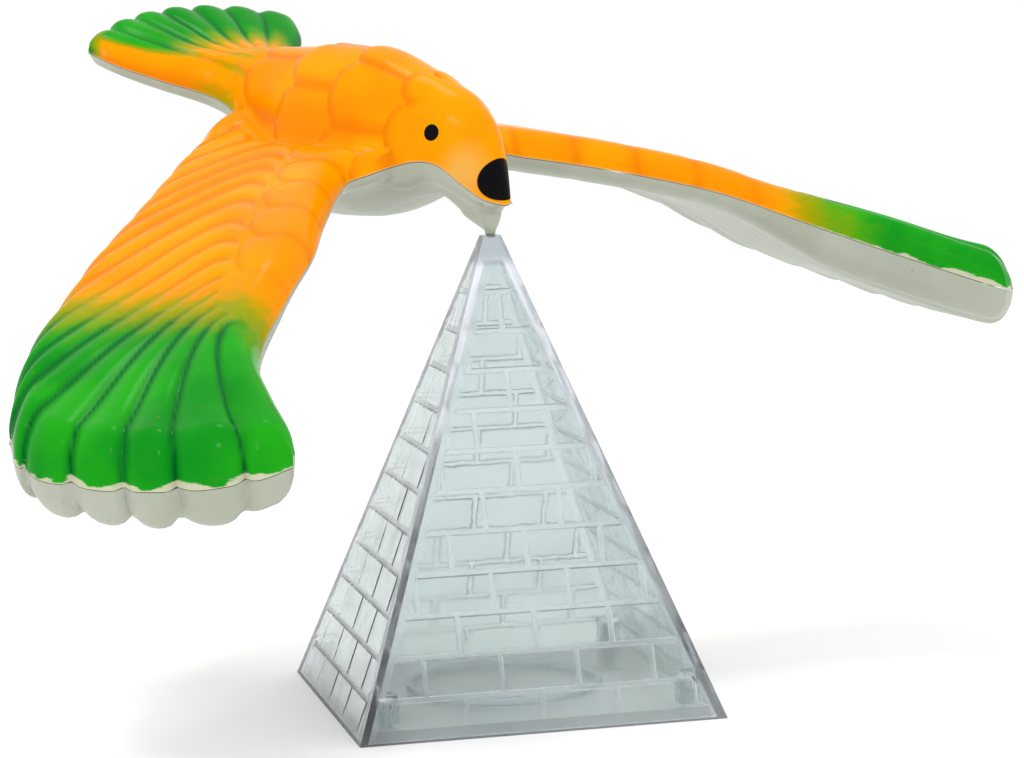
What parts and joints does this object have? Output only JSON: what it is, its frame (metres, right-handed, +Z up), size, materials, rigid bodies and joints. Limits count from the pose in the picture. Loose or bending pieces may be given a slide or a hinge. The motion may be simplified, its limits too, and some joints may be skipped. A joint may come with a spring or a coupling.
{
  "type": "balancing bird toy",
  "caption": "Hollow eagle with weighted, drooping, forward-swept wings that balances on its beak tip on a clear brick-pattern pyramid.",
  "frame": {"origin": "middle of the pyramid's underside, on the table", "axes": "+Z up; -Y out of the pyramid's front face; at rest the bird heads 32 degrees from -Y towards +X"},
  "size_m": [0.1669, 0.1395, 0.1058],
  "materials": {
    "orange_paint": "gloss",
    "white_plastic": "satin",
    "steel": "satin",
    "clear_plastic": "gloss"
  },
  "bodies": {
    "pyramid": {"pyramid_shell": "clear_plastic", "base_plate": "clear_plastic"},
    "beak_tip": {"beak_tip": "white_plastic"},
    "beak_collar": {"beak_collar": "white_plastic"},
    "bird": {"back_shell": "orange_paint", "belly_shell": "white_plastic", "left_wing_weight": "steel", "right_wing_weight": "steel"}
  },
  "joints": [
    {"name": "spin", "type": "hinge", "parent": "pyramid", "child": "beak_tip", "pos_m": [0, 0, 0.0712], "axis": [0, 0, 1], "continuous": true},
    {"name": "nod", "type": "hinge", "parent": "beak_tip", "child": "beak_collar", "pos_m": [0, 0, 0.0712], "axis": [0.848, 0.5299, 0], "range_deg": [-25, 25]},
    {"name": "roll", "type": "hinge", "parent": "beak_collar", "child": "bird", "pos_m": [0, 0, 0.0712], "axis": [0.5299, -0.848, 0], "range_deg": [-25, 25]}
  ]
}
